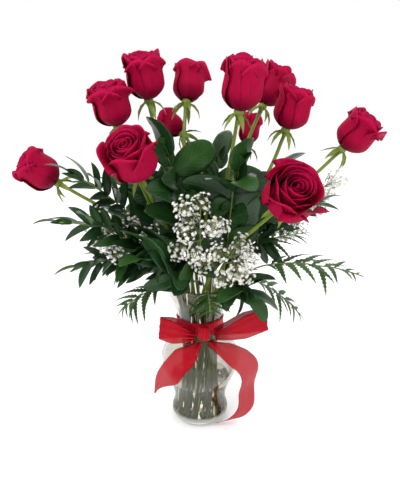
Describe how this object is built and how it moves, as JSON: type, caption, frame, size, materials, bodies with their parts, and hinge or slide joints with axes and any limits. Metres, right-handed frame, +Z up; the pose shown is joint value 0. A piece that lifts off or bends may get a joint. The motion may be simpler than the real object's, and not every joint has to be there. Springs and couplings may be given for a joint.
{
  "type": "roses in a vase",
  "caption": "Bunch of red roses with fern, leafy sprays and baby's breath in a footed clear glass vase with water, tied at its neck with a sheer red ribbon bow.",
  "frame": {"origin": "centre of the underside of the vase's foot, on the table", "axes": "+Z up through the vase; -Y is the front, where the bow is; +X to the right seen from the front"},
  "size_m": [0.5198, 0.3497, 0.5633],
  "materials": {
    "petal": "soft velvety crimson petals, paler at the rolled lips",
    "rose_green": "smooth green stem skin and sepals",
    "leaf_green": "glossy dark green leaf with paler veins",
    "fern_green": "half-matte green fern blade",
    "blossom": "tiny cream blossoms on fine olive twigs",
    "ribbon": "sheer bright red organza with woven edges",
    "glass": "clear pressed glass, faint olive tint in the thick foot",
    "water": "clear still water, faintly green"
  },
  "bodies": {
    "root": {"rose_01_bloom": "petal", "rose_01_stem": "rose_green", "rose_02_bloom": "petal", "rose_02_stem": "rose_green", "rose_03_bloom": "petal", "rose_03_stem": "rose_green", "rose_04_bloom": "petal", "rose_04_stem": "rose_green", "rose_05_bloom": "petal", "rose_05_stem": "rose_green", "rose_06_bloom": "petal", "rose_06_stem": "rose_green", "rose_07_bloom": "petal", "rose_07_stem": "rose_green", "rose_08_bloom": "petal", "rose_08_stem": "rose_green", "rose_09_bloom": "petal", "rose_09_stem": "rose_green", "rose_10_bloom": "petal", "rose_10_stem": "rose_green", "rose_11_bloom": "petal", "rose_11_stem": "rose_green", "rose_12_bloom": "petal", "rose_12_stem": "rose_green", "fern_1": "fern_green", "fern_2": "fern_green", "fern_3": "fern_green", "fern_4": "fern_green", "fern_5": "fern_green", "fern_6": "fern_green", "fern_7": "fern_green", "ruscus_1": "leaf_green", "ruscus_2": "leaf_green", "ruscus_3": "leaf_green", "ruscus_4": "leaf_green", "ruscus_5": "leaf_green", "ruscus_6": "leaf_green", "salal_1": "leaf_green", "salal_2": "leaf_green", "salal_3": "leaf_green", "salal_4": "leaf_green", "salal_5": "leaf_green", "salal_6": "leaf_green", "salal_7": "leaf_green", "babys_breath_1": "blossom", "babys_breath_2": "blossom", "babys_breath_3": "blossom", "babys_breath_4": "blossom", "babys_breath_5": "blossom", "babys_breath_6": "blossom", "ribbon_band": "ribbon", "ribbon_knot": "ribbon", "ribbon_loop_left": "ribbon", "ribbon_loop_right": "ribbon", "ribbon_tail_left": "ribbon", "ribbon_tail_right": "ribbon", "vase": "glass", "water": "water"}
  },
  "joints": []
}
